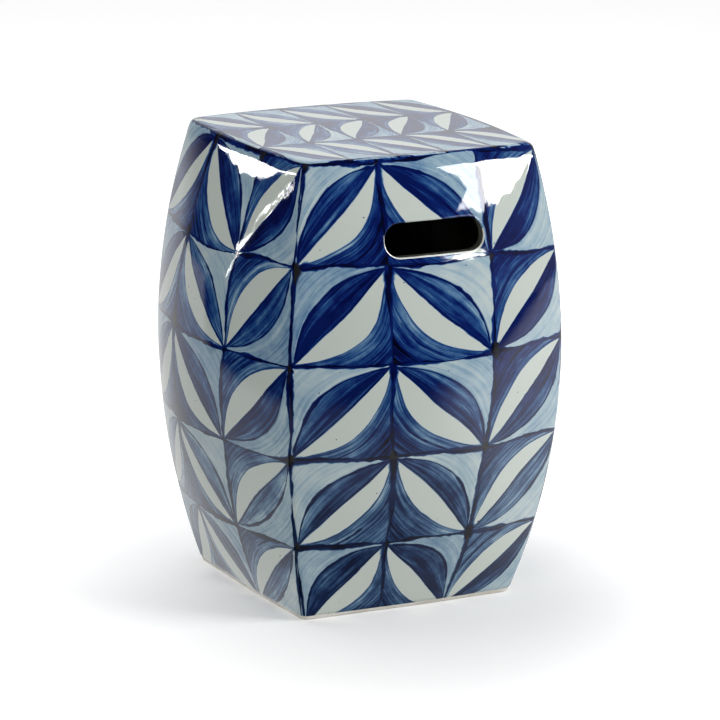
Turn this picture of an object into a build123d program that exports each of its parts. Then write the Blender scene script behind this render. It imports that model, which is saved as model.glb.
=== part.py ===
"""Glazed stoneware garden stool: a square drum with bowed sides, luted together from clay slabs.

Frame: millimetres, +Z up, origin on the ground under the middle of the stool.
The two walls with hand holes face -Y (front) and +Y (back).
Every side is a slab that swells outwards both ways: up and down, and from ridge to ridge.
"""
import os
from build123d import *

# Overall form, measured on the outside. A side runs from ridge to ridge, a bow is how far
# its middle stands out beyond the straight line between the two ridges.
seat_height = 457.0
belly_height = 246.0
foot_side = 232.0
belly_side = 298.0
seat_side = 251.0
foot_bow = 2.5
belly_bow = 30.0
seat_bow = 8.0

# Clay thicknesses
wall = 10.0
seat_thickness = 14.0

# Eased edges
ridge_flat = 3.0
seat_edge_radius = 8.0
foot_chamfer = 1.5

# Hand holes
hand_hole_width = 107.0
hand_hole_height = 32.0
hand_hole_drop = 76.5
hand_hole_lip = 2.0

# Clay beads pressed into the inside seams, and the strips that make the foot
corner_coil_size = 14.0
seat_coil_size = 12.0
coil_edge = 2.0
foot_strip_width = 22.0
foot_strip_height = 14.0
foot_opening_radius = 16.0

# The outer form is drawn smoothly through this many level sections.
# Inside, each slab is scraped in flats: so many up the wall, and so many across it.
outer_sections = 11
flats_up = 8
flats_across = 8

# The slip joint between seat and walls
seat_joint = seat_height - seat_thickness


def swell(z, at_foot, at_belly, at_seat):
    """A size that grows from foot to belly and shrinks again to the seat, on two half parabolas."""
    if z < belly_height:
        share = (belly_height - z) / belly_height
        return at_belly - (at_belly - at_foot) * share**2
    share = (z - belly_height) / (seat_height - belly_height)
    return at_belly - (at_belly - at_seat) * share**2


def half_side(z):
    """Half the distance between two neighbouring ridges at height z."""
    return swell(z, foot_side, belly_side, seat_side) / 2


def bow(z):
    """How far the middle of a side stands out beyond its ridges at height z."""
    return swell(z, foot_bow, belly_bow, seat_bow)


def outline(z, inset=0.0, form_height=None):
    """A level section of the outer form, with its ridges taken off by a small flat.

    It is drawn at height z; its sizes are those of the form at form_height, less the inset.
    """
    sized_at = z if form_height is None else form_height
    half = half_side(sized_at) - inset
    side = ThreePointArc((-half, -half, z), (0, -half - bow(sized_at), z), (half, -half, z))
    section = make_face([side.rotate(Axis.Z, 90 * turn) for turn in range(4)])
    return chamfer(section.vertices(), ridge_flat)


def inside_point(z, inset, across):
    """A point on the inside of the front wall; across runs from -1 at its left end to 1 at its right."""
    half = half_side(z) - inset
    return Vector(across * half, -half - bow(z) * (1 - across**2), z)


def inside_ring(z, inset):
    """Corner points of a level section of the space inside, with so many straight flats to a side."""
    front = [inside_point(z, inset, 2 * i / flats_across - 1) for i in range(flats_across)]
    return [point.rotate(Axis.Z, 90 * turn) for turn in range(4) for point in front]


def flat_faced(rings):
    """A solid with flat three-cornered faces, stacked up from level rings of points."""
    faces = [make_face(Polyline(*ring, close=True)) for ring in (rings[0], rings[-1])]
    for lower, upper in zip(rings, rings[1:]):
        for i in range(len(lower)):
            faces.append(make_face(Polyline(lower[i - 1], lower[i], upper[i], close=True)))
            faces.append(make_face(Polyline(lower[i - 1], upper[i], upper[i - 1], close=True)))
    return Solid(Shell(faces))


def level_band(bottom, top):
    """A slab of space between two heights, wider than the stool."""
    reach = 2 * (belly_side + 2 * belly_bow)
    return Pos(0, 0, (bottom + top) / 2) * Box(reach, reach, top - bottom)


def mitre_wedge():
    """The quarter of space that the front wall fills, bounded by the two diagonal planes."""
    reach = belly_side + 2 * belly_bow
    quarter = make_face(Polyline((0, 0), (reach, -reach), (-reach, -reach), close=True))
    return extrude(quarter, seat_height)


def hand_hole():
    """A level round-ended slot that reaches from the middle of the stool out through the front."""
    slot = Pos(0, seat_height - hand_hole_drop) * SlotOverall(hand_hole_width, hand_hole_height)
    return extrude(Plane.XZ * slot, belly_side / 2 + 2 * belly_bow)


def on_hand_hole_rim(edge):
    """True for the edges that a hand hole leaves on the outer face of the front wall."""
    middle = edge.center()
    level = seat_height - hand_hole_drop
    on_slot = abs(middle.X) < hand_hole_width and abs(middle.Z - level) < hand_hole_height
    mid_wall = inside_point(level, wall / 2, middle.X / half_side(level))
    return on_slot and middle.Y < mid_wall.Y and edge.geom_type != GeomType.LINE


def outer_body():
    """The swelling outer form from the ground up to the seat joint, with its foot edge eased."""
    rise = seat_joint - foot_chamfer
    levels = [foot_chamfer + rise * i / (outer_sections - 1) for i in range(outer_sections)]
    eased_foot = loft([outline(0, foot_chamfer, foot_chamfer), outline(foot_chamfer)], ruled=True)
    return loft([outline(z) for z in levels]) + eased_foot


def seat_slab():
    """The seat: it carries the outline of the walls on up and rounds over into the flat top."""
    shoulder = seat_height - seat_edge_radius
    knuckle = seat_edge_radius * (1 - 0.5**0.5)
    sections = [outline(seat_joint), outline(shoulder)]
    sections.append(outline(seat_height - knuckle, knuckle, shoulder))
    sections.append(outline(seat_height, seat_edge_radius, shoulder))
    return loft(sections, ruled=True)


def seat_coil():
    """The bead of clay in the angle under the seat, along the front wall."""
    bottom = seat_joint - seat_coil_size
    thin_edge = inside_ring(bottom, wall + coil_edge)
    full_depth = inside_ring(seat_joint, wall + seat_coil_size)
    return ((hollow & level_band(bottom, seat_joint)) - flat_faced([thin_edge, full_depth])) & mitre_wedge()


def corner_coil():
    """The bead of clay up the inside of the ridge between the front and the right wall."""
    leg = 2 * wall + corner_coil_size
    sections = []
    for z in inside_levels:
        half = half_side(z)
        corner = [(half, -half, z), (half, leg - half, z), (half - leg, -half, z)]
        sections.append(make_face(Polyline(*corner, close=True)))
    bar = loft(sections, ruled=True)
    return bar & hollow & level_band(foot_strip_height, seat_joint - seat_coil_size)


sides = ["front", "right", "back", "left"]
corners = ["front_right", "back_right", "back_left", "front_left"]

# The swelling outer form up to the seat, and the hollow inside it
body = outer_body()
inside_levels = [seat_joint * i / flats_up for i in range(flats_up + 1)]
hollow = flat_faced([inside_ring(z, wall) for z in inside_levels])

# Four walls, mitred on the diagonals; front and back are pierced for the hands
plain_wall = (body - hollow) & mitre_wedge()
pierced_wall = plain_wall - hand_hole()
pierced_wall = chamfer(pierced_wall.edges().filter_by(on_hand_hole_rim), hand_hole_lip)

# Foot strips: four mitred bars around the inside of the foot
foot_half = half_side(0) - wall - foot_strip_width
foot_opening = RectangleRounded(2 * foot_half, 2 * foot_half, foot_opening_radius)
foot_ring = (hollow & level_band(0, foot_strip_height)) - extrude(foot_opening, foot_strip_height)
foot_strip = foot_ring & mitre_wedge()

# Beads that back the seams inside
front_seat_coil = seat_coil()
right_front_coil = corner_coil()

# The same slabs, strips and beads go round the four sides and corners
pieces = {"seat_slab": seat_slab()}
for turn, (side, corner) in enumerate(zip(sides, corners)):
    slab = pierced_wall if side in ("front", "back") else plain_wall
    pieces[side + "_wall"] = slab.rotate(Axis.Z, 90 * turn)
    pieces["foot_strip_" + side] = foot_strip.rotate(Axis.Z, 90 * turn)
    pieces["seat_coil_" + side] = front_seat_coil.rotate(Axis.Z, 90 * turn)
    pieces["corner_coil_" + corner] = right_front_coil.rotate(Axis.Z, 90 * turn)

os.makedirs("parts", exist_ok=True)
for name, piece in pieces.items():
    export_step(piece, "parts/" + name + ".step")
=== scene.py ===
"""Square glazed garden stool with a brushed leaf lattice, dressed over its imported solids.

Lengths are in millimetres until a mesh is finished, and metres in the scene itself.
"""
import math

import bmesh
import bpy
from mathutils import Matrix, Vector, noise
from mathutils.geometry import intersect_line_plane


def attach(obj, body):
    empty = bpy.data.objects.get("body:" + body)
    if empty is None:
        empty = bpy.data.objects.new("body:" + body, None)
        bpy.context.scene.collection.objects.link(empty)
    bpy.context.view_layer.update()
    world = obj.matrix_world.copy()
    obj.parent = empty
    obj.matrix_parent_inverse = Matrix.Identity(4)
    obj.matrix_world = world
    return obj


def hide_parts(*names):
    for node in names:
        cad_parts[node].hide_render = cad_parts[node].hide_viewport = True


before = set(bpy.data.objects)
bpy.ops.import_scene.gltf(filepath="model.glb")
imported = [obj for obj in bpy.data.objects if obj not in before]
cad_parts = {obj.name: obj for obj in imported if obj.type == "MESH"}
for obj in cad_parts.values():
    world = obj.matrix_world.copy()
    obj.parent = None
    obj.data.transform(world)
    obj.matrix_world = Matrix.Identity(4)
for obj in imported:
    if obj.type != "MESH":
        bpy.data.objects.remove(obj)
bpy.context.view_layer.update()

# The form, as in the part's source
SEAT_HEIGHT = 457.0
BELLY_HEIGHT = 246.0
SIDES = (232.0, 298.0, 251.0)       # ridge to ridge at foot, belly and seat
BOWS = (2.5, 30.0, 8.0)             # how far a side stands out at foot, belly and seat
WALL = 10.0
SEAT_THICKNESS = 14.0
SEAT_JOINT = SEAT_HEIGHT - SEAT_THICKNESS
SEAT_EDGE_RADIUS = 8.0
SHOULDER = SEAT_HEIGHT - SEAT_EDGE_RADIUS
RIDGE_RADIUS = 9.0
INNER_RIDGE_RADIUS = 1.5
INNER_DRAW = (0.45, 0.95)           # shares of a side over which the inside draws in to the ridge
HOLE_WIDTH = 107.0
HOLE_HEIGHT = 32.0
HOLE_DROP = 76.5
HOLE_LEVEL = SEAT_HEIGHT - HOLE_DROP
HOLE_LIP = 1.8
HOLE_WINDOW = (66.0, 28.0)          # half sizes of the window that is opened before the hole is drawn in
EDGE_REACH = (1.2, 1.4)             # the window's edge lies within these shares of its half sizes
HOLE_RINGS = 5                      # rings of faces from that window in to the hole's rim
WALL_NAMES = ("front", "right", "back", "left")
PIERCED_WALLS = ("front", "back")

# Glaze and clay detail
BARE_FOOT = 4.6                     # height of the unglazed rim at the foot
GLAZE_EDGE = 0.75                   # how far the bare clay stands behind the glaze
GLAZE_ROLL = 1.8                    # height over which the glaze rolls off to its edge
WORN_CORNER = (1.3, 1.4)            # depth and height of the worn corner of the foot
RIPPLE = 0.55                       # deepest hollow that the hands left in the slabs
RIPPLE_LENGTH = 75.0
RIPPLE_CONTRAST = 0.9
TOP_RIPPLE = 0.6                    # share of the ripple on the flat top
LIP_START = 0.4                     # depth in the hole's lip from which the colour has run off and a highlight is painted
LIP_TOP = 6.0                       # height above the hole's middle up to which it has, and the painted highlight with it
FOOT_FACE = 1.0                     # faces that reach below this belong to the foot
CREASE = math.radians(40)
TOUCH = 0.01                        # lengths closer than this count as the same

# Places of the finishes on a glazed piece
PAINTED, BARE, CUT, RAW, LIP = range(5)

# The painted lattice: heights of the row lines, and where the two column lines of each wall
# stand at foot and seat, as shares of the half side
ROW_LINES = (-6.0, 79.0, 172.0, 266.0, 358.5, 455.0)
COLUMN_LINES = {
    "front": ((-0.30, -0.40), (0.34, 0.45)),
    "right": ((-0.32, -0.37), (0.31, 0.38)),
    "back": ((-0.34, -0.42), (0.30, 0.41)),
    "left": ((-0.44, -0.33), (0.26, 0.46)),
}
COLUMNS_APART = 6.0                 # lattice columns set apart for each wall; the seat's follow them
SEAT_CELLS = (3, 5)                 # columns and rows on the top
SEAT_MARGIN = 2.0

# The brush, in shares of a lattice cell
WANDER = 0.16                       # how far it strays slowly off the ruled lattice
SHAKE = 0.016                       # how far the hand shakes
DARK_HALF = (0.26, 0.31)            # least and greatest width of a leaf's dark half
WHITE_HALF = (0.25, 0.30)           # and of its white half

# Looks of the cobalt from bare white to the thickest stroke: full blue, and greyer low on the walls, partly
# as a painted reflection of the floor
COBALT = (
    (0.00, (176, 183, 177)), (0.10, (163, 176, 179)), (0.24, (134, 157, 170)), (0.42, (76, 109, 143)),
    (0.60, (30, 66, 115)), (0.78, (8, 29, 89)), (0.92, (3, 11, 62)), (1.00, (3, 4, 18)))
SLATE_AND_FLOOR_SHEEN = (
    (0.00, (176, 183, 177)), (0.10, (163, 175, 177)), (0.24, (134, 155, 165)), (0.42, (84, 112, 138)),
    (0.60, (46, 72, 104)), (0.78, (20, 38, 72)), (0.92, (8, 18, 46)), (1.00, (4, 6, 15)))
BURNT_OLIVE = (34, 33, 30)
LOOK_LIGHT = 0.63                   # share of full light that the looks are seen under

# Studio light levels
FLOOR_LIFT = (0.23, 0.74)           # glow of the floor near the stool and far from it; weaker near it as a painted shadow
SWEEP_LIGHT = 0.74
BOUNCE_LIGHT = 0.45
ROOM_LIGHT = 0.02
SIDE_LIGHT = 0.40                   # the room is lighter off to the right
BACKDROP_LIGHT = 0.95
BLACK = (0.0, 0.0, 0.0, 1.0)
WHITE = (1.0, 1.0, 1.0, 1.0)

# The photograph's viewpoint, looking at the middle of the stool
VIEW_AZIMUTH = math.radians(-27.6)
VIEW_ELEVATION = math.radians(14.05)
VIEW_ROLL = math.radians(0.8)
VIEW_DISTANCE = 4.3395
VIEW_BACK = Vector((
    math.sin(VIEW_AZIMUTH) * math.cos(VIEW_ELEVATION),
    -math.cos(VIEW_AZIMUTH) * math.cos(VIEW_ELEVATION),
    math.sin(VIEW_ELEVATION)))
EYE = Vector((0, 0, SEAT_HEIGHT / 2000)) + VIEW_BACK * VIEW_DISTANCE

# Where highlights lie on the flat slab of a wall: across from its middle, and height
LEFT_HIGHLIGHT = (
    (-39, 448), (30, 449), (133, 449), (104, 444), (96, 440), (76, 433), (63, 433), (54, 430), (38, 433),
    (31, 430), (18, 436), (8, 436), (-7, 442), (-22, 443))
RIGHT_HIGHLIGHT = (
    (52, 445), (73, 448), (135, 449), (130, 441), (113, 428), (102, 422), (96, 414), (82, 412), (77, 405),
    (65, 405), (64, 425), (55, 428))
RIGHT_VEIL = (
    (12, 445), (52, 447), (66, 440), (66, 420), (57, 397), (44, 404), (28, 403), (44, 422), (36, 434),
    (18, 441))
HIGHLIGHT_UNDER_HOLE = ((3, 364), (49, 363), (54, 360), (43, 358), (30, 358), (24, 356), (16, 361))
LEFT_STREAK = (
    (126, 437), (127, 429), (104, 415), (92, 411), (92, 403), (83, 401), (76, 388), (75, 382), (55, 365),
    (59, 360), (48, 341), (45, 333))
STREAK_HALF_WIDTH = 0.0017          # of the slit that shows as the streak, in metres
EAVE_GAP = 0.045                    # how far a hung pane keeps out from the seat's edge, in metres
EDGE_STEPS = 4                      # steps in which each edge of a highlight is followed
LEAN_REACH = 5                      # how far round a spot the lean of the wall is felt


def swell(z, sizes):
    """A size that grows from foot to belly and shrinks again to the seat."""
    at_foot, at_belly, at_seat = sizes
    if z < BELLY_HEIGHT:
        return at_belly - (at_belly - at_foot) * ((BELLY_HEIGHT - z) / BELLY_HEIGHT) ** 2
    return at_belly - (at_belly - at_seat) * ((z - BELLY_HEIGHT) / (SEAT_HEIGHT - BELLY_HEIGHT)) ** 2


def half_side(z):
    return swell(z, SIDES) / 2


def bow(z):
    return swell(z, BOWS)


def blend(value, low, high):
    """0 below low, 1 above high, and a soft passage between them."""
    share = min(max((value - low) / (high - low), 0.0), 1.0)
    return share * share * (3 - 2 * share)


def ridge_start(half, out, radius):
    """The share of the half side at which the ridge starts to round over."""
    turn = math.pi / 4 - math.atan(2 * out / half)
    return 1 - radius * math.tan(turn) / half


def side_point(along, z, inset=0.0, radius=RIDGE_RADIUS, level=None):
    """A point of the front side and the way inwards from it.

    along runs from -2 to 2: to 1 over the bowed side, from 1 to 2 round the ridge to the mitre.
    """
    half = half_side(z) - inset
    out = bow(z)
    reach = min(abs(along), 1.0) * ridge_start(half, out, radius)
    x = reach * half
    y = -half - out * (1 - reach**2)
    lean = math.atan(2 * out * reach / half)
    if abs(along) > 1:
        round_off = -(x + y) / (math.cos(lean) - math.sin(lean))
        angle = lean + (abs(along) - 1) * (math.pi / 4 - lean)
        x += round_off * (math.sin(angle) - math.sin(lean))
        y -= round_off * (math.cos(angle) - math.cos(lean))
        lean = angle
    side = math.copysign(1.0, along)
    point = Vector((side * x, y, z if level is None else level))
    return point, Vector((-side * math.sin(lean), math.cos(lean), 0))


def turned(point, quarter):
    """A point of the front side, carried round to one of the four sides."""
    return Matrix.Rotation(math.pi / 2 * quarter, 3, "Z") @ point


def ripple(point):
    """How far a spot of the surface lies in, for the unevenness of slabs shaped by hand."""
    soft = noise.noise(point / RIPPLE_LENGTH)
    return RIPPLE * min(max(0.5 + soft * RIPPLE_CONTRAST, 0.0), 1.0)


def foot_inset(z):
    """The wiped foot: bare clay stands a little behind the edge of the glaze, with a worn corner."""
    if z < BARE_FOOT:
        depth, height = WORN_CORNER
        return GLAZE_EDGE + depth * max(0.0, 1 - z / height) ** 2
    return GLAZE_EDGE * (1 - blend(z, BARE_FOOT, BARE_FOOT + GLAZE_ROLL))


def steps(low, high, count):
    return [low + (high - low) * i / count for i in range(count + 1)]


# Columns of a slab's mesh: fine round the ridges, even over the bowed side
RIDGE_STEPS = [1.25, 1.5, 1.75, 2.0]
ALONG = [-a for a in reversed(RIDGE_STEPS)] + steps(-1.0, 1.0, 52) + RIDGE_STEPS
LAST = len(ALONG) - 1
# Rows of a wall's mesh: fine at the foot
HEIGHTS = [0.0, 0.7, 1.4, 3.0, 4.4, 4.9, 5.5, 6.4, 9.0] + steps(13.0, SEAT_JOINT, 78)
# Steps in which the seat's rim rounds over; the upper ones carry the top's pattern
RIM_STEPS = 6
RIM_STEPS_OF_TOP = 3

# The flat slab that a wall starts as: half its width between the ridges, and the width of a ridge
FLAT_HALF = half_side(HOLE_LEVEL) * ridge_start(half_side(HOLE_LEVEL), bow(HOLE_LEVEL), RIDGE_RADIUS)
FLAT_RIDGE = 8.0


def flat_across(along):
    """Where a column lies on the flat slab, before it is pressed over the form."""
    main = max(-1.0, min(1.0, along))
    return FLAT_HALF * main + FLAT_RIDGE * (along - main)


def along_of(across):
    """The column that lies at a place on the flat slab."""
    main = max(-1.0, min(1.0, across / FLAT_HALF))
    return main + (across - main * FLAT_HALF) / FLAT_RIDGE


def slot_point(spot):
    """The nearest point of the hand hole's rim on the flat slab."""
    radius = HOLE_HEIGHT / 2
    core_half = HOLE_WIDTH / 2 - radius
    core = Vector((min(max(spot.x, -core_half), core_half), HOLE_LEVEL, spot.z))
    return core + (spot - core).normalized() * radius


def place_grid(slab, columns, rows):
    """Spreads an even grid over the given columns and rows."""
    for vert in slab.verts:
        i = round((vert.co.x + 1) / 2 * (len(columns) - 1))
        j = round((vert.co.y + 1) / 2 * (len(rows) - 1))
        vert.co = (columns[i], rows[j], 0)


def draw_out(slab, rim):
    """Adds a ring of faces along an open rim, and gives the new faces and the new rim."""
    drawn = bmesh.ops.extrude_edge_only(slab, edges=rim)["geom"]
    faces = [f for f in drawn if isinstance(f, bmesh.types.BMFace)]
    return faces, [e for e in drawn if isinstance(e, bmesh.types.BMEdge) and e.is_boundary]


def cut_hand_hole(slab):
    """Opens a window in the flat slab and draws its edge in to the round-ended hole."""
    wide, high = HOLE_WINDOW
    window = []
    for face in slab.faces:
        middle = face.calc_center_median()
        if abs(middle.x) < wide and abs(middle.y - HOLE_LEVEL) < high:
            window.append(face)
    bmesh.ops.delete(slab, geom=window, context="FACES")
    rim = []
    for edge in slab.edges:
        off = (edge.verts[0].co + edge.verts[1].co) / 2 - Vector((0, HOLE_LEVEL, 0))
        if edge.is_boundary and abs(off.x) < EDGE_REACH[0] * wide and abs(off.y) < EDGE_REACH[1] * high:
            rim.append(edge)
    for ring in range(HOLE_RINGS):
        _, rim = draw_out(slab, rim)
        for vert in {v for e in rim for v in e.verts}:
            vert.co += (slot_point(vert.co) - vert.co) / (HOLE_RINGS - ring)
    slab.normal_update()


def soften_hand_hole(slab):
    """Rounds the outer lip of the hand hole."""
    lip = []
    for edge in slab.edges:
        ends = [v.co for v in edge.verts]
        if all(abs(co.z) < TOUCH and (slot_point(co) - co).length < TOUCH for co in ends):
            lip.append(edge)
    bmesh.ops.bevel(
        slab, geom=lip, offset=HOLE_LIP, offset_type="OFFSET", affect="EDGES",
        segments=4, profile=0.5, material=-1)


def press(across, z, depth):
    """Lays a point of the flat slab over the bowed form; depth runs in from the glazed face."""
    along = along_of(across)
    outer, inward = side_point(along, z)
    outer += inward * (foot_inset(z) + ripple(outer))
    if depth < TOUCH:
        return outer
    inner, _ = side_point(along, z, WALL, INNER_RIDGE_RADIUS)
    inner.x = outer.x + (inner.x - outer.x) * blend(abs(along), *INNER_DRAW)
    return outer.lerp(inner, depth / WALL)


def column_of(share, z, name):
    """Column coordinate of the lattice: whole numbers on the painted column lines."""
    up = z / SEAT_HEIGHT
    lines = [-1.0] + [low + (high - low) * up for low, high in COLUMN_LINES[name]] + [1.0]
    i = sum(1 for line in lines[1:-1] if share >= line)
    return i + (share - lines[i]) / (lines[i + 1] - lines[i])


def row_of(z):
    """Row coordinate of the lattice: whole numbers on the painted row lines."""
    i = sum(1 for line in ROW_LINES[1:-1] if z >= line)
    return i + (z - ROW_LINES[i]) / (ROW_LINES[i + 1] - ROW_LINES[i])


def lattice_on_wall(along, z, name):
    """Lattice coordinates of a spot on a wall; each wall has its own stretch of columns."""
    half = half_side(z)
    share = max(-1.0, min(1.0, along)) * ridge_start(half, bow(z), RIDGE_RADIUS)
    if abs(along) > 1:
        share += math.copysign((1 - abs(share)) * (abs(along) - 1), along)
    return COLUMNS_APART * WALL_NAMES.index(name) + column_of(share, z, name), row_of(z)


def lattice_on_seat(spot):
    """Lattice coordinates on the top: its columns from far to near, its rows from left to right."""
    columns, rows = SEAT_CELLS
    half = half_side(SEAT_HEIGHT) + SEAT_MARGIN
    column = COLUMNS_APART * len(WALL_NAMES) + columns / 2 * (1 - spot.y / half)
    return column, rows / 2 * (1 + spot.x / half)


def finish_piece(name, slab, materials):
    """Makes an object of a finished slab: metres, smooth faces, creases kept at real edges."""
    bmesh.ops.recalc_face_normals(slab, faces=slab.faces[:])
    bmesh.ops.scale(slab, vec=(0.001, 0.001, 0.001), verts=slab.verts[:])
    mesh = bpy.data.meshes.new(name)
    slab.to_mesh(mesh)
    slab.free()
    mesh.shade_smooth()
    mesh.set_sharp_from_angle(angle=CREASE)
    for material in materials:
        mesh.materials.append(material)
    piece = bpy.data.objects.new(name, mesh)
    bpy.context.scene.collection.objects.link(piece)
    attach(piece, "root")
    return piece


def wall_finish(spots, pierced):
    """The finish of a face of the flat slab, from the places of its corners."""
    depths = [-spot.z for spot in spots]
    lowest = min(spot.y for spot in spots)
    highest = max(spot.y for spot in spots)
    if max(depths) > HOLE_LIP + TOUCH:
        if sum(depths) / len(depths) > WALL - TOUCH:
            return RAW
        return BARE if lowest < FOOT_FACE else CUT
    if highest < BARE_FOOT:
        return BARE
    if pierced and max(depths) > LIP_START and highest < HOLE_LEVEL + LIP_TOP:
        return LIP
    return PAINTED


def glazed_wall(name, materials):
    """One wall: a flat slab, cut for the hand, given its thickness and pressed to shape."""
    quarter = WALL_NAMES.index(name)
    slab = bmesh.new()
    bmesh.ops.create_grid(slab, x_segments=LAST, y_segments=len(HEIGHTS) - 1, size=1.0)
    place_grid(slab, [flat_across(a) for a in ALONG], HEIGHTS)
    pierced = name in PIERCED_WALLS
    if pierced:
        cut_hand_hole(slab)
    bmesh.ops.solidify(slab, geom=slab.faces[:], thickness=WALL)
    if pierced:
        soften_hand_hole(slab)
    flat = {vert: vert.co.copy() for vert in slab.verts}
    lattice = slab.loops.layers.uv.new("lattice")
    for face in slab.faces:
        face.material_index = wall_finish([flat[v] for v in face.verts], pierced)
        for loop in face.loops:
            spot = flat[loop.vert]
            loop[lattice].uv = lattice_on_wall(along_of(spot.x), spot.y, name)
    for vert in slab.verts:
        spot = flat[vert]
        vert.co = turned(press(spot.x, spot.y, -spot.z), quarter)
    wall = finish_piece(name + "_wall_glazed", slab, materials)
    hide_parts(name + "_wall")


def rim_quarter(i, j):
    """The side that a border point (i, j) of the seat's grid lies on."""
    return 0 if j == 0 else 1 if i == LAST else 2 if j == LAST else 3


def rim_along(i, j, quarter):
    """The column of a side, from -2 to 2, that a border point (i, j) of the seat's grid belongs to."""
    return (ALONG[i], ALONG[j], -ALONG[i], -ALONG[j])[quarter]


def rim_spot(along, quarter, z, inset, level):
    """A point of the outline at height z, less the inset, drawn at another level on one of the sides."""
    point, inward = side_point(along, z, inset, RIDGE_RADIUS, level)
    spot = turned(point, quarter)
    return spot + turned(inward, quarter) * ripple(spot)


def rim_point(i, j, turn):
    """A point of the seat's rim: turn runs from 0, in line with the wall, over to 1 on the flat top."""
    quarter = rim_quarter(i, j)
    along = rim_along(i, j, quarter)
    above, inward = side_point(along, SHOULDER)
    below, _ = side_point(along, SEAT_JOINT)
    lean = (above - below).dot(inward) / (SHOULDER - SEAT_JOINT)
    start = math.atan(lean)
    radius = SEAT_EDGE_RADIUS * (1 - lean) / (math.cos(start) - lean * (1 - math.sin(start)))
    angle = start + turn * (math.pi / 2 - start)
    inset = SEAT_EDGE_RADIUS - radius * math.cos(angle)
    level = SEAT_HEIGHT - radius * (1 - math.sin(angle))
    return rim_spot(along, quarter, SHOULDER, inset, level)


def seat_top_point(i, j):
    """A point of the flat top: the four rim lines are carried across it from side to side."""
    def rim(p, q):
        return rim_point(p, q, 1.0)

    if i in (0, LAST) or j in (0, LAST):
        return rim(i, j)
    corner = rim(LAST, 0).x
    s = (rim(i, 0).x / corner + 1) / 2
    t = (rim(LAST, j).y / corner + 1) / 2
    across = rim(i, 0).lerp(rim(i, LAST), t)
    along = rim(0, j).lerp(rim(LAST, j), s)
    low = rim(0, 0).lerp(rim(LAST, 0), s)
    high = rim(0, LAST).lerp(rim(LAST, LAST), s)
    return across + along - low.lerp(high, t)


def glazed_seat(materials):
    """The seat slab: a flat top whose border is drawn out and down over the rounded rim."""
    slab = bmesh.new()
    bmesh.ops.create_grid(slab, x_segments=LAST, y_segments=LAST, size=1.0)
    column = slab.verts.layers.int.new("column")
    row = slab.verts.layers.int.new("row")
    for vert in slab.verts:
        vert[column] = round((vert.co.x + 1) / 2 * LAST)
        vert[row] = round((vert.co.y + 1) / 2 * LAST)
        vert.co = seat_top_point(vert[column], vert[row])
        vert.co.z = SEAT_HEIGHT - TOP_RIPPLE * ripple(vert.co)
    lattice = slab.loops.layers.uv.new("lattice")
    for face in slab.faces:
        for loop in face.loops:
            loop[lattice].uv = lattice_on_seat(loop.vert.co)

    # Rings round the rim: over the edge, down to the joint, and in underneath
    rim = [e for e in slab.edges if e.is_boundary]
    for ring in range(RIM_STEPS + 2):
        faces, rim = draw_out(slab, rim)
        for vert in {v for e in rim for v in e.verts}:
            i, j = vert[column], vert[row]
            if ring < RIM_STEPS:
                vert.co = rim_point(i, j, (RIM_STEPS - 1 - ring) / RIM_STEPS)
            else:
                quarter = rim_quarter(i, j)
                inset = WALL * (ring - RIM_STEPS)
                vert.co = rim_spot(rim_along(i, j, quarter), quarter, SEAT_JOINT, inset, SEAT_JOINT)
        for face in faces:
            middle = face.calc_center_median()
            quarter = round(math.atan2(middle.x, -middle.y) / (math.pi / 2)) % 4
            face.material_index = RAW if ring > RIM_STEPS else PAINTED
            for loop in face.loops:
                if ring < RIM_STEPS_OF_TOP:
                    loop[lattice].uv = lattice_on_seat(loop.vert.co)
                else:
                    along = rim_along(loop.vert[column], loop.vert[row], quarter)
                    loop[lattice].uv = lattice_on_wall(along, loop.vert.co.z, WALL_NAMES[quarter])
    for face in bmesh.ops.contextual_create(slab, geom=rim)["faces"]:
        face.material_index = RAW
    seat = finish_piece("seat_slab_glazed", slab, materials)
    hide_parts("seat_slab")


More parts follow.
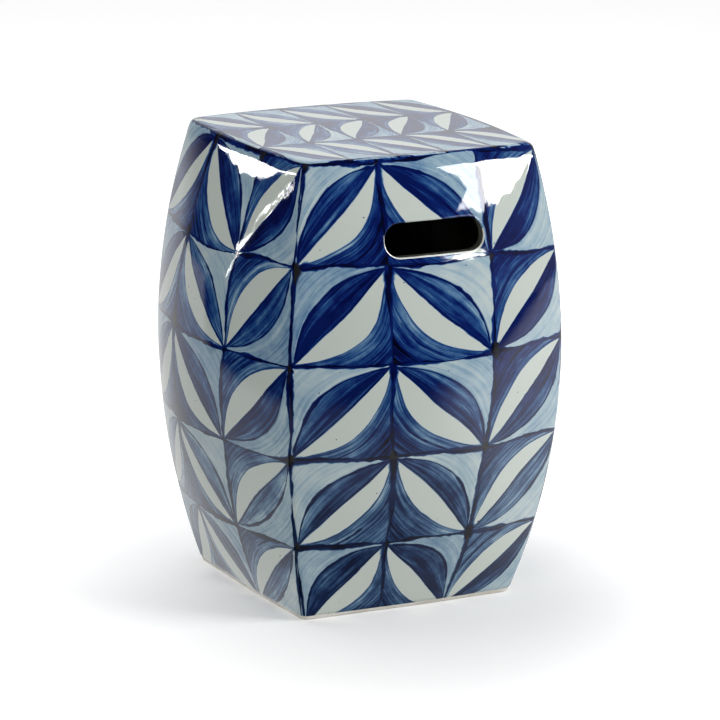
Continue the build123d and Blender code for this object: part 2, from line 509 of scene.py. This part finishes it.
class Finish:
    """A material with short ways to join its nodes."""

    def __init__(self, name):
        self.material = bpy.data.materials.new(name)
        self.material.use_nodes = True
        self.tree = self.material.node_tree
        self.surface = self.tree.nodes["Principled BSDF"]

    def node(self, kind, **settings):
        made = self.tree.nodes.new(kind)
        for key, value in settings.items():
            setattr(made, key, value)
        return made

    def feed(self, socket, value):
        if isinstance(value, bpy.types.NodeSocket):
            self.tree.links.new(value, socket)
        else:
            socket.default_value = value

    def give(self, name, value):
        """Feeds a socket of the surface."""
        self.feed(self.surface.inputs[name], value)

    def calc(self, operation, *values, clamp=False):
        made = self.node("ShaderNodeMath", operation=operation, use_clamp=clamp)
        for socket, value in zip(made.inputs, values):
            self.feed(socket, value)
        return made.outputs[0]

    def ramp(self, value, low, high, start=0.0, end=1.0):
        """A soft passage from start to end while value goes from low to high."""
        made = self.node("ShaderNodeMapRange", interpolation_type="SMOOTHSTEP")
        for socket, item in zip(made.inputs, (value, low, high, start, end)):
            self.feed(socket, item)
        return made.outputs[0]

    def swing(self, grain, reach):
        """A grain of 0 to 1 made to swing both ways about 0."""
        return self.calc("MULTIPLY", self.calc("SUBTRACT", grain, 0.5), reach)

    def mix(self, share, low, high):
        """low where share is 0, high where it is 1."""
        made = self.node("ShaderNodeMix", data_type="FLOAT")
        self.feed(made.inputs[0], share)
        self.feed(made.inputs["A"], low)
        self.feed(made.inputs["B"], high)
        return made.outputs[0]

    def vector(self, x, y, z):
        made = self.node("ShaderNodeCombineXYZ")
        for socket, item in zip(made.inputs, (x, y, z)):
            self.feed(socket, item)
        return made.outputs[0]

    def parts(self, vector):
        made = self.node("ShaderNodeSeparateXYZ")
        self.feed(made.inputs[0], vector)
        return made.outputs

    def where(self):
        """The place on the piece, in metres."""
        return self.node("ShaderNodeTexCoord").outputs["Object"]

    def grain(self, vector, scale, detail=2.0, rough=0.5, colour=False):
        made = self.node("ShaderNodeTexNoise")
        self.feed(made.inputs["Vector"], vector)
        made.inputs["Scale"].default_value = scale
        made.inputs["Detail"].default_value = detail
        made.inputs["Roughness"].default_value = rough
        return made.outputs["Color" if colour else "Fac"]

    def bump(self, height, strength, distance):
        made = self.node("ShaderNodeBump")
        made.inputs["Strength"].default_value = strength
        made.inputs["Distance"].default_value = distance
        self.feed(made.inputs["Height"], height)
        self.give("Normal", made.outputs[0])

    def colours(self, value, stops):
        """A run of looks along a value."""
        made = self.node("ShaderNodeValToRGB")
        ramp = made.color_ramp
        while len(ramp.elements) < len(stops):
            ramp.elements.new(0.5)
        for element, (place, look) in zip(ramp.elements, stops):
            element.position = place
            element.color = tone(look)
        self.feed(made.inputs[0], value)
        return made.outputs[0]

    def blend_colours(self, share, low, high):
        """The colour low where share is 0, high where it is 1."""
        made = self.node("ShaderNodeMix", data_type="RGBA")
        self.feed(made.inputs[0], share)
        for socket, item in zip([i for i in made.inputs if i.type == "RGBA"], (low, high)):
            self.feed(socket, item)
        return made.outputs["Result"]


def tone(look):
    """A glaze colour from its look on a screen, with 255 for full light, under soft light."""
    plain = []
    for level in look:
        share = level / 255
        plain.append((share / 12.92 if share < 0.04045 else ((share + 0.055) / 1.055) ** 2.4) / LOOK_LIGHT)
    return (*plain, 1.0)


class PaintedGlaze(Finish):
    """Cobalt brushed on white under a clear gloss: split leaves on the diagonals of a lattice."""

    def __init__(self):
        super().__init__("painted_glaze")
        self.rule_lattice()
        self.shape_leaves()
        self.load_brush()
        self.pool_crossings()
        paint = self.fill_leaves()
        for stroke in self.leaf_lines() + self.lattice_lines():
            paint = self.calc("MAXIMUM", paint, stroke)
        paint = self.calc("ADD", paint, 0.0, clamp=True)
        self.give("Base Color", self.fired_colour_and_sheen(paint))
        self.give("Roughness", 0.035)
        dimple = self.grain(self.where(), 55.0)
        self.bump(self.calc("ADD", dimple, self.calc("MULTIPLY", paint, 0.25)), 0.10, 0.0008)

    def strayed(self, ruled, wander, shake):
        """A ruled coordinate, as the brush really follows it."""
        slowly = self.calc("ADD", ruled, self.swing(wander, WANDER))
        return self.calc("ADD", slowly, self.swing(shake, SHAKE))

    def rule_lattice(self):
        """Cells of the lattice as the brush follows it, each with its own chances."""
        self.place = self.node("ShaderNodeUVMap", uv_map="lattice").outputs[0]
        ruled = self.parts(self.place)
        wander = self.parts(self.grain(self.place, 0.9, 1.0, colour=True))
        shake = self.parts(self.grain(self.place, 5.0, colour=True))
        self.u = self.strayed(ruled[0], wander[0], shake[0])
        self.v = self.strayed(ruled[1], wander[1], shake[1])
        self.column = self.calc("FLOOR", self.u)
        self.row = self.calc("FLOOR", self.v)
        self.across = self.calc("SUBTRACT", self.u, self.column)
        self.up = self.calc("SUBTRACT", self.v, self.row)
        chance = self.node("ShaderNodeTexWhiteNoise", noise_dimensions="2D")
        self.feed(chance.inputs["Vector"], self.vector(self.column, self.row, 0.0))
        self.chance = self.parts(chance.outputs["Color"])

    def shape_leaves(self):
        """A leaf's two curved edges; off_vein runs from its vein towards the dark half.

        Leaves of the middle column are mirrored, those of the last one are turned upside down as well.
        """
        kind = self.calc("MODULO", self.column, 3.0)
        mirrored = self.calc("GREATER_THAN", kind, 0.5)
        upside_down = self.calc("GREATER_THAN", kind, 1.5)
        a = self.calc("ABSOLUTE", self.calc("SUBTRACT", mirrored, self.across))
        b = self.calc("ABSOLUTE", self.calc("SUBTRACT", upside_down, self.up))
        self.off_vein = self.calc("MULTIPLY", self.calc("SUBTRACT", b, a), math.sqrt(0.5))
        self.along_vein = self.calc("MULTIPLY", self.calc("ADD", a, b), 0.5)
        run = self.calc("DIVIDE", self.calc("SUBTRACT", self.along_vein, 0.025), 0.95, clamp=True)
        self.belly = self.calc("MULTIPLY", self.calc("MULTIPLY", run, self.calc("SUBTRACT", 1.0, run)), 4.0)
        dark_edge = self.calc("MULTIPLY", self.belly, self.mix(self.chance[0], *DARK_HALF))
        white_edge = self.calc("MULTIPLY", self.belly, self.mix(self.chance[1], *WHITE_HALF))
        self.past_dark = self.calc("SUBTRACT", self.off_vein, dark_edge)
        self.past_white = self.calc("SUBTRACT", self.calc("MULTIPLY", self.off_vein, -1.0), white_edge)
        self.leaf_share = self.calc("DIVIDE", self.off_vein, self.calc("ADD", dark_edge, 0.04))

    def streaks(self, stretch, over, fineness, detail):
        """Streaks of the brush along a leaf; over is the way across them."""
        along = self.calc("MULTIPLY", self.along_vein, stretch)
        streak_place = self.vector(along, self.calc("MULTIPLY", over, fineness), self.seed)
        return self.grain(streak_place, 1.0, detail, 0.62)

    def load_brush(self):
        """Streaks along the leaves and their curves, and how unevenly the brush is charged."""
        cell = self.calc("ADD", self.column, self.calc("MULTIPLY", self.row, 7.0))
        self.seed = self.calc("MULTIPLY", cell, 3.7)
        self.leaf_streak = self.streaks(1.9, self.leaf_share, 7.0, 5.0)
        self.mid_streak = self.streaks(2.1, self.past_white, 34.0, 5.0)
        self.light_streak = self.streaks(2.0, self.past_dark, 30.0, 3.0)
        cell_place = self.vector(self.u, self.v, self.seed)
        self.leaf_pool = self.grain(cell_place, 2.6)
        self.mottle = self.grain(cell_place, 13.0, 3.0, 0.6)
        thick_place = self.vector(self.calc("MULTIPLY", self.u, 1.7), self.calc("MULTIPLY", self.v, 1.7), 4.0)
        self.thick = self.grain(thick_place, 1.0, 3.0, 0.6)
        self.ragged = self.grain(self.place, 8.0)

    def field(self, base, *grains):
        """How much cobalt lies in a field, swinging about its base."""
        for grain, reach in grains:
            base = self.calc("ADD", base, self.swing(grain, reach))
        return base

    def fill_leaves(self):
        """The paint in the dark and white halves of a leaf and in the corners beside them.

        It is thinned in the low rows, most in the dark halves above the bottom one,
        and high on the left wall.
        """
        left_from = COLUMNS_APART * WALL_NAMES.index("left") - 0.5
        past_left_from = self.calc("GREATER_THAN", self.u, left_from)
        on_left_wall = self.calc("MULTIPLY", past_left_from, self.calc("LESS_THAN", self.u, left_from + 5))
        upper_left = self.calc("MULTIPLY", on_left_wall, self.ramp(self.v, 2.0, 3.2, 0.0, 0.09))
        thinned = self.calc("SUBTRACT", self.ramp(self.v, 0.8, 3.2, -0.10, 0.0), upper_left)
        above_bottom = self.ramp(self.v, 0.8, 1.1, 0.1, 1.0)
        wash = self.calc("MULTIPLY", self.ramp(self.v, 1.8, 3.2, -0.15, 0.0), above_bottom)
        washed = self.calc("ADD", thinned, wash)
        settle = self.calc("ADD", self.ramp(self.leaf_share, 0.25, 0.80, 0.86, 0.66), washed)
        deepen = self.calc("ADD", self.ramp(self.past_white, 0.02, 0.28, 0.58, 0.82), thinned)
        uneven = ((self.leaf_pool, 0.55), (self.mottle, 0.22))
        dark = self.field(settle, (self.leaf_streak, 1.35), *uneven, (self.chance[2], 0.24))
        dark = self.calc("MINIMUM", dark, self.ramp(self.thick, 0.35, 0.70, 0.86, 0.96))
        mid = self.field(deepen, (self.mid_streak, 1.35), *uneven, (self.chance[0], 0.16))
        faint = ((self.leaf_pool, 0.34), (self.mottle, 0.16), (self.chance[1], 0.20))
        light = self.calc("MAXIMUM", self.field(0.24, (self.light_streak, 0.50), *faint), 0.05)
        upper = self.mix(self.ramp(self.past_dark, -0.008, 0.008), dark, light)
        lower = self.mix(self.ramp(self.past_white, -0.006, 0.006), 0.0, mid)
        return self.mix(self.ramp(self.off_vein, -0.018, -0.008), lower, upper)

    def line(self, distance, half_width, weight):
        """A drawn line with ragged sides."""
        wide = self.calc("MULTIPLY", half_width, self.ramp(self.ragged, 0.3, 0.7, 0.8, 1.2))
        soft = self.calc("MULTIPLY", wide, 0.35)
        return self.ramp(self.calc("ABSOLUTE", distance), soft, wide, weight, 0.0)

    def leaf_lines(self):
        """The outer curve and vein of a leaf, a stroke in the blue corner and the edge of the white half."""
        in_leaf = self.ramp(self.belly, 0.02, 0.2)
        curve_width = self.ramp(self.leaf_pool, 0.35, 0.65, 0.010, 0.036)
        curve = self.line(self.calc("ADD", self.past_dark, 0.014), curve_width, 0.90)
        vein_width = self.ramp(self.leaf_streak, 0.3, 0.7, 0.010, 0.030)
        vein = self.line(self.calc("SUBTRACT", self.off_vein, 0.004), vein_width, 0.88)
        stroke_width = self.ramp(self.thick, 0.42, 0.66, 0.0, 0.034)
        stroke = self.line(self.calc("SUBTRACT", self.past_white, 0.115), stroke_width, 0.86)
        edge_width = self.ramp(self.leaf_pool, 0.35, 0.65, 0.006, 0.018)
        edge = self.line(self.calc("SUBTRACT", self.past_white, 0.010), edge_width, 0.70)
        return [self.calc("MULTIPLY", curve, in_leaf), vein, self.calc("MULTIPLY", stroke, in_leaf), edge]

    def pool_crossings(self):
        """Tall blots where lattice lines cross."""
        self.side_gap = self.calc("MINIMUM", self.across, self.calc("SUBTRACT", 1.0, self.across))
        self.level_gap = self.calc("MINIMUM", self.up, self.calc("SUBTRACT", 1.0, self.up))
        tall_gap = self.calc("MULTIPLY", self.level_gap, 0.55)
        squares = self.calc("ADD", self.calc("POWER", self.side_gap, 2.0), self.calc("POWER", tall_gap, 2.0))
        crossing = self.calc("ADD", self.calc("SQRT", squares), self.swing(self.ragged, 0.10))
        blot = self.ramp(self.thick, 0.40, 0.62, 0.0, 0.105)
        self.pooled = self.ramp(crossing, self.calc("MULTIPLY", blot, 0.4), blot, 0.99, 0.0)

    def lattice_lines(self):
        """Lines strong in some places and lost in others, a wedge under each head of leaves, and spatter."""
        off_head = self.calc("SUBTRACT", self.calc("MODULO", self.calc("ADD", self.u, 0.5), 3.0), 1.5)
        at_head = self.calc("LESS_THAN", self.calc("ABSOLUTE", off_head), 0.5)
        wedge = self.calc("MULTIPLY", self.calc("MULTIPLY", self.calc("POWER", self.up, 1.6), at_head), 0.048)
        upright = self.calc("ADD", self.ramp(self.thick, 0.34, 0.64, 0.012, 0.052), wedge)
        level = self.ramp(self.thick, 0.36, 0.62, 0.010, 0.060)
        weight = self.ramp(self.leaf_pool, 0.35, 0.6, 0.80, 0.98)
        spatter = self.ramp(self.grain(self.place, 24.0, 1.0), 0.775, 0.795, 0.0, 0.75)
        across_lines = self.line(self.level_gap, level, weight)
        return [self.line(self.side_gap, upright, weight), across_lines, self.pooled, spatter]

    def fired_colour_and_sheen(self, paint):
        """Full cobalt above; greyer slate low on the walls, partly a painted reflection of the floor; olive
        where a blot burnt.
        """
        on_walls = self.calc("LESS_THAN", self.u, COLUMNS_APART * len(WALL_NAMES) - 1)
        low_down = self.calc("MULTIPLY", self.ramp(self.v, 1.2, 3.4, 1.0, 0.0), on_walls)
        fired_and_sheen = self.blend_colours(low_down, self.colours(paint, COBALT), self.colours(paint, SLATE_AND_FLOOR_SHEEN))
        burnt = self.calc("MULTIPLY", self.pooled, self.ramp(self.leaf_pool, 0.46, 0.58, 0.0, 0.85))
        return self.blend_colours(burnt, fired_and_sheen, tone(BURNT_OLIVE))


def clay_body(name, low, middle, high, speckle):
    """Fired stoneware, wiped and a little speckled."""
    s = Finish(name)
    where = s.where()
    cloud = s.grain(where, 28.0, 4.0, 0.6)
    speck = s.ramp(s.grain(where, 420.0, 2.0, 0.6), 0.62, 0.72)
    base = s.colours(cloud, ((0.3, low), (0.55, middle), (0.8, high)))
    s.give("Base Color", s.blend_colours(s.calc("MULTIPLY", speck, 0.5), base, tone(speckle)))
    s.give("Roughness", 0.82)
    s.bump(s.calc("ADD", s.grain(where, 300.0, 3.0, 0.6), cloud), 0.35, 0.0006)
    return s.material


def foot_clay():
    """The bare rim at the foot, wiped clean of glaze."""
    return clay_body("foot_clay", (172, 168, 158), (196, 193, 185), (210, 208, 202), (140, 130, 114))


def shaded_inside_clay():
    """The hollow inside, left raw, painted dark for the shade inside it."""
    return clay_body("shaded_inside_clay", (34, 31, 27), (44, 41, 36), (54, 50, 45), (26, 23, 20))


def plain_glaze(name, thin, usual, thick):
    """Clear glaze over bare slip, darker where it runs thin."""
    s = Finish(name)
    cloud = s.grain(s.where(), 60.0, 3.0, 0.6)
    s.give("Base Color", s.colours(cloud, ((0.3, thin), (0.6, usual), (0.8, thick))))
    s.give("Roughness", 0.12)
    s.bump(cloud, 0.2, 0.0005)
    return s.material


def shaded_hole_glaze():
    """The cut through the wall at the hand hole, painted dark for the shade in the hole."""
    return plain_glaze("shaded_hole_glaze", (58, 58, 52), (74, 75, 68), (94, 96, 89))


def lip_glaze_and_glint():
    """The lower lip of the hand hole, where the colour has run off the edge, partly a painted highlight."""
    return plain_glaze("lip_glaze_and_glint", (196, 198, 192), (214, 216, 212), (224, 226, 222))


def clear_of_stool(s, x, y):
    """0 on the ground under the stool and 1 outside its foot."""
    off_middle = s.calc("MAXIMUM", s.calc("ABSOLUTE", x), s.calc("ABSOLUTE", y))
    return s.ramp(off_middle, 0.10, 0.115)


def sweep_place(s, x, y):
    """A spot on the ground, measured off the sweep's middle line and down it, away from the camera."""
    cosine, sine = math.cos(VIEW_AZIMUTH), math.sin(VIEW_AZIMUTH)
    off_line = s.calc("ADD", s.calc("MULTIPLY", x, cosine), s.calc("MULTIPLY", y, sine))
    down_line = s.calc("SUBTRACT", s.calc("MULTIPLY", y, cosine), s.calc("MULTIPLY", x, sine))
    return off_line, down_line


def pale_floor():
    """The pale studio floor, made to glow white except under the stool; the glow is weaker round the stool as
    a painted shadow.
    """
    s = Finish("pale_floor")
    where = s.where()
    s.give("Base Color", s.calc("MULTIPLY_ADD", s.grain(where, 3.0), 0.02, 0.86))
    s.give("Roughness", 0.9)
    s.give("Specular IOR Level", 0.0)
    s.give("Emission Color", WHITE)
    x, y, _ = s.parts(where)
    off_line, down_line = sweep_place(s, x, y)
    # Painted shadow: the floor's glow is weakest round the stool, centred a little to its right
    wide = s.calc("POWER", s.calc("MULTIPLY", s.calc("SUBTRACT", off_line, 0.03), 1.25), 2.0)
    deep = s.calc("POWER", s.calc("ADD", down_line, 0.12), 2.0)
    glow = s.ramp(s.calc("SQRT", s.calc("ADD", wide, deep)), 0.16, 0.60, *FLOOR_LIFT)
    s.give("Emission Strength", s.calc("MULTIPLY", glow, clear_of_stool(s, x, y)))
    return s.material


def paper_sweep(name, brightness, right_gain, near_share, contact_shade):
    """White paper on the ground, with soft borders, shaded close in front of the stool.

    It fans out behind the stool and reaches further to the left; daylight falls on it from the right.
    """
    s = Finish(name)
    x, y, _ = s.parts(s.where())
    off_line, down_line = sweep_place(s, x, y)

    # The fan of paper, dimmer towards its near end
    fanned = s.calc("SUBTRACT", s.calc("ABSOLUTE", off_line), s.calc("MULTIPLY", down_line, 0.45))
    fanned = s.calc("SUBTRACT", fanned, s.calc("MAXIMUM", s.calc("SUBTRACT", down_line, 0.4), 0.0))
    fanned = s.calc("SUBTRACT", fanned, s.calc("MULTIPLY", s.calc("LESS_THAN", off_line, 0.0), 0.33))
    near_fade = s.ramp(down_line, -0.60, -0.15, near_share, 1.0)
    near_end = s.calc("MULTIPLY", s.ramp(down_line, -0.95, -0.65), near_fade)
    paper = s.calc("MULTIPLY", s.ramp(fanned, 0.52, 0.75, 1.0, 0.0), near_end)

    # Daylight from the right, lost far away in front
    to_right = s.ramp(s.calc("ADD", off_line, s.calc("MULTIPLY", down_line, 1.2)), -0.15, 0.25)
    far_right = s.calc("SUBTRACT", off_line, s.calc("MULTIPLY", s.calc("ADD", down_line, 0.2), 6.0))
    to_right = s.calc("MULTIPLY", to_right, s.ramp(far_right, 1.8, 4.0, 1.0, 0.0))
    to_right = s.calc("MULTIPLY", to_right, s.ramp(off_line, 0.0, 0.15))
    light = s.calc("MAXIMUM", paper, s.calc("MULTIPLY", to_right, right_gain))

    # Shade in front of the stool, where no daylight reaches in
    before = s.calc("MULTIPLY", y, -1.0)
    shaded = s.calc("MULTIPLY", s.ramp(before, 0.08, 0.12), s.ramp(before, 0.14, 0.48, contact_shade, 0.0))
    shaded = s.calc("MULTIPLY", shaded, s.calc("SUBTRACT", 1.0, to_right))
    light = s.calc("MULTIPLY", s.calc("MULTIPLY", light, brightness), s.calc("SUBTRACT", 1.0, shaded))
    s.give("Base Color", BLACK)
    s.give("Emission Color", WHITE)
    s.give("Emission Strength", s.calc("MULTIPLY", light, clear_of_stool(s, x, y)))
    return s.material


def stage_piece(name, shape, material):
    """Makes a piece of the stage from a finished shape."""
    mesh = bpy.data.meshes.new(name)
    shape.to_mesh(mesh)
    shape.free()
    mesh.materials.append(material)
    piece = bpy.data.objects.new(name, mesh)
    bpy.context.scene.collection.objects.link(piece)
    return piece


def stage_plane(name, size, level, material):
    plane = bmesh.new()
    lowered = Matrix.Translation((0, 0, level))
    bmesh.ops.create_grid(plane, x_segments=2, y_segments=2, size=size, matrix=lowered)
    return stage_piece(name, plane, material)


def studio_floor():
    """A floor for the eye, a paper sweep for the gloss, and a weaker one for the light from below."""
    floor = stage_plane("floor", 14.0, 0.0, pale_floor())
    floor.visible_glossy = False
    floor.visible_diffuse = False
    shown = paper_sweep("paper_sweep", SWEEP_LIGHT, right_gain=2.0, near_share=0.4, contact_shade=0.97)
    sweep = stage_plane("paper_sweep", 4.0, -0.0005, shown)
    sweep.visible_diffuse = False
    felt = paper_sweep("paper_bounce", BOUNCE_LIGHT, right_gain=1.0, near_share=1.0, contact_shade=0.0)
    bounce = stage_plane("paper_bounce", 4.0, -0.001, felt)
    bounce.visible_glossy = False
    for plane in (sweep, bounce):
        plane.visible_camera = False
        plane.visible_shadow = False


def softbox(name, place, target, size, power):
    """A square studio light that looks at the target; it lights the clay but stays out of the gloss."""
    light = bpy.data.lights.new(name, "AREA")
    light.shape = "SQUARE"
    light.size = size
    light.energy = power
    lamp = bpy.data.objects.new(name, light)
    lamp.location = place
    lamp.rotation_euler = (Vector(target) - Vector(place)).to_track_quat("-Z", "Y").to_euler()
    lamp.visible_glossy = False
    lamp.visible_camera = False
    bpy.context.scene.collection.objects.link(lamp)


def studio_softboxes():
    softbox("key", (2.2, -2.0, 1.7), (0, 0, 0.2), size=1.8, power=78)
    softbox("top", (-0.8, 0.9, 2.9), (0, 0, 0.3), size=2.2, power=38)
    softbox("left_fill", (-2.2, -1.8, 1.2), (0, 0, 0.2), size=1.6, power=26)


def studio_room():
    """A dim room, lighter to the right, with a white backdrop at the far end of the sweep."""
    world = bpy.data.worlds.new("studio")
    bpy.context.scene.world = world
    world.use_nodes = True
    tree = world.node_tree
    direction = tree.nodes.new("ShaderNodeTexCoord")
    along_sweep = tree.nodes.new("ShaderNodeVectorMath")
    along_sweep.operation = "DOT_PRODUCT"
    along_sweep.inputs[1].default_value = (-math.sin(VIEW_AZIMUTH), math.cos(VIEW_AZIMUTH), 0.0)
    tree.links.new(direction.outputs["Generated"], along_sweep.inputs[0])
    parts = tree.nodes.new("ShaderNodeSeparateXYZ")
    tree.links.new(direction.outputs["Generated"], parts.inputs[0])
    brighter = tree.nodes.new("ShaderNodeMath")
    brighter.operation = "MAXIMUM"
    lights = (
        (along_sweep.outputs["Value"], 0.66, 0.88, BACKDROP_LIGHT),
        (parts.outputs["X"], 0.50, 0.95, SIDE_LIGHT))
    for socket, (value, low, high, most) in zip(brighter.inputs, lights):
        fade = tree.nodes.new("ShaderNodeMapRange")
        fade.interpolation_type = "SMOOTHSTEP"
        settings = {"From Min": low, "From Max": high, "To Min": ROOM_LIGHT, "To Max": most}
        for name, setting in settings.items():
            fade.inputs[name].default_value = setting
        tree.links.new(value, fade.inputs["Value"])
        tree.links.new(fade.outputs[0], socket)
    tree.links.new(brighter.outputs[0], tree.nodes["Background"].inputs["Color"])


def facing(place, target):
    """Stands a pane at a place so that it looks at the target; its outline runs across and up."""
    turn = (Vector(target) - Vector(place)).to_track_quat("-Z", "Y")
    return Matrix.Translation(place) @ turn.to_matrix().to_4x4()


def eave(name, rise, lift):
    """Hangs a pane like an eave out beyond the seat's edge, so low that the top hardly mirrors it.

    Its plane rises gently; a pane's outline runs out from the edge and along it.
    """
    quarter = WALL_NAMES.index(name)
    out = turned(Vector((0, -1, rise)), quarter).normalized()
    along = turned(Vector((1, 0, 0)), quarter)
    edge = Vector((0, -half_side(SEAT_HEIGHT) - bow(SEAT_HEIGHT), SEAT_HEIGHT + lift))
    axes = Matrix((out, along, out.cross(along))).transposed().to_4x4()
    return Matrix.Translation(turned(edge, quarter) / 1000) @ axes


def wall_spot(name, across, z):
    """A spot of a wall's glazed face, in metres."""
    return turned(press(across, z, 0.0), WALL_NAMES.index(name)) / 1000


def mirrored_spot(name, stand, across, z):
    """The spot of a pane's plane that the camera sees mirrored at a spot of a wall."""
    spot = wall_spot(name, across, z)
    over = wall_spot(name, across + LEAN_REACH, z) - wall_spot(name, across - LEAN_REACH, z)
    up = wall_spot(name, across, z + LEAN_REACH) - wall_spot(name, across, z - LEAN_REACH)
    way = (spot - EYE).reflect(over.cross(up).normalized())
    return stand.inverted() @ intersect_line_plane(spot, spot + way, stand.translation, stand.col[2].xyz)


def mirrored_outline(name, stand, highlight, nearest=-math.inf):
    """The outline of a pane that shows in the gloss as the given highlight on a wall.

    No point of it lies nearer to the stand's own line than nearest.
    """
    outline = []
    for corner, following in zip(highlight, highlight[1:] + highlight[:1]):
        for step in range(EDGE_STEPS):
            across, z = Vector(corner).lerp(Vector(following), step / EDGE_STEPS)
            spot = mirrored_spot(name, stand, across, z)
            outline.append((max(spot.x, nearest), spot.y))
    return outline


def thin_line(half_width, points):
    """The outline of a thin strip along a run of points."""
    there, back = [], []
    for i, (x, y) in enumerate(points):
        before, after = points[max(0, i - 1)], points[min(len(points) - 1, i + 1)]
        way = Vector((after[0] - before[0], after[1] - before[1])).normalized() * half_width
        there.append((x - way.y, y + way.x))
        back.append((x + way.y, y - way.x))
    return there + back[::-1]


def window_card(name, stand, brightness, outline):
    """A bright pane that shows only in the gloss."""
    pane = bmesh.new()
    bmesh.ops.create_circle(pane, cap_ends=True, segments=len(outline), radius=1.0)
    pane.verts.ensure_lookup_table()
    for vert, (across, up) in zip(pane.verts, outline):
        vert.co = stand @ Vector((across, up, 0))
    s = Finish(name)
    s.give("Base Color", BLACK)
    s.give("Emission Color", WHITE)
    s.give("Emission Strength", brightness)
    card = stage_piece(name, pane, s.material)
    card.visible_camera = False
    card.visible_diffuse = False
    card.visible_shadow = False


def studio_windows():
    """Panes that show in the gloss as the photograph's highlights."""
    hung = (
        ("left_window", "left", eave("left", rise=0.10, lift=13), 22, LEFT_HIGHLIGHT),
        ("right_window", "front", eave("front", rise=0.20, lift=13), 45, RIGHT_HIGHLIGHT),
        ("right_veil", "front", eave("front", rise=0.20, lift=12), 17, RIGHT_VEIL))
    for name, wall, stand, brightness, highlight in hung:
        window_card(name, stand, brightness, mirrored_outline(wall, stand, highlight, EAVE_GAP))
    low = facing((0.98, -1.43, 0.60), (0.03, -0.16, 0.36))
    window_card("under_hole", low, 45, mirrored_outline("front", low, HIGHLIGHT_UNDER_HOLE))
    far = facing((-1.29, 1.04, 0.49), (-0.15, -0.08, 0.39))
    slit = [mirrored_spot("left", far, across, z).xy for across, z in LEFT_STREAK]
    window_card("left_streak", far, 44, thin_line(STREAK_HALF_WIDTH, slit))


def studio_camera():
    """The photograph's viewpoint: a long lens, a little above the stool, slightly rolled."""
    right = Vector((math.cos(VIEW_AZIMUTH), math.sin(VIEW_AZIMUTH), 0))
    up = VIEW_BACK.cross(right)
    cosine, sine = math.cos(VIEW_ROLL), math.sin(VIEW_ROLL)
    axes = Matrix((right * cosine + up * sine, up * cosine - right * sine, VIEW_BACK))
    data = bpy.data.cameras.new("camera")
    data.lens = 218.17
    data.sensor_width = 36.0
    data.shift_x = 0.0047
    data.shift_y = -0.0071
    data.clip_end = 60.0
    camera = bpy.data.objects.new("camera", data)
    camera.matrix_world = Matrix.Translation(EYE) @ axes.transposed().to_4x4()
    bpy.context.scene.collection.objects.link(camera)
    bpy.context.scene.camera = camera


# The inside and the cut of the hand hole are painted dark as shade; the lower lip is partly a painted
# highlight
# In the order of PAINTED, BARE, CUT, RAW, LIP
finishes = [PaintedGlaze().material, foot_clay(), shaded_hole_glaze(), shaded_inside_clay(), lip_glaze_and_glint()]
for wall_name in WALL_NAMES:
    glazed_wall(wall_name, finishes)
glazed_seat(finishes)
# Coils inside take the inside's painted shade; strips under the foot take the bare clay
for node_name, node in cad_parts.items():
    if "coil" in node_name or "strip" in node_name:
        node.data.materials.clear()
        node.data.materials.append(finishes[RAW] if "coil" in node_name else finishes[BARE])

studio_floor()
studio_room()
studio_softboxes()
studio_windows()
studio_camera()
bpy.context.scene.view_settings.view_transform = "Standard"
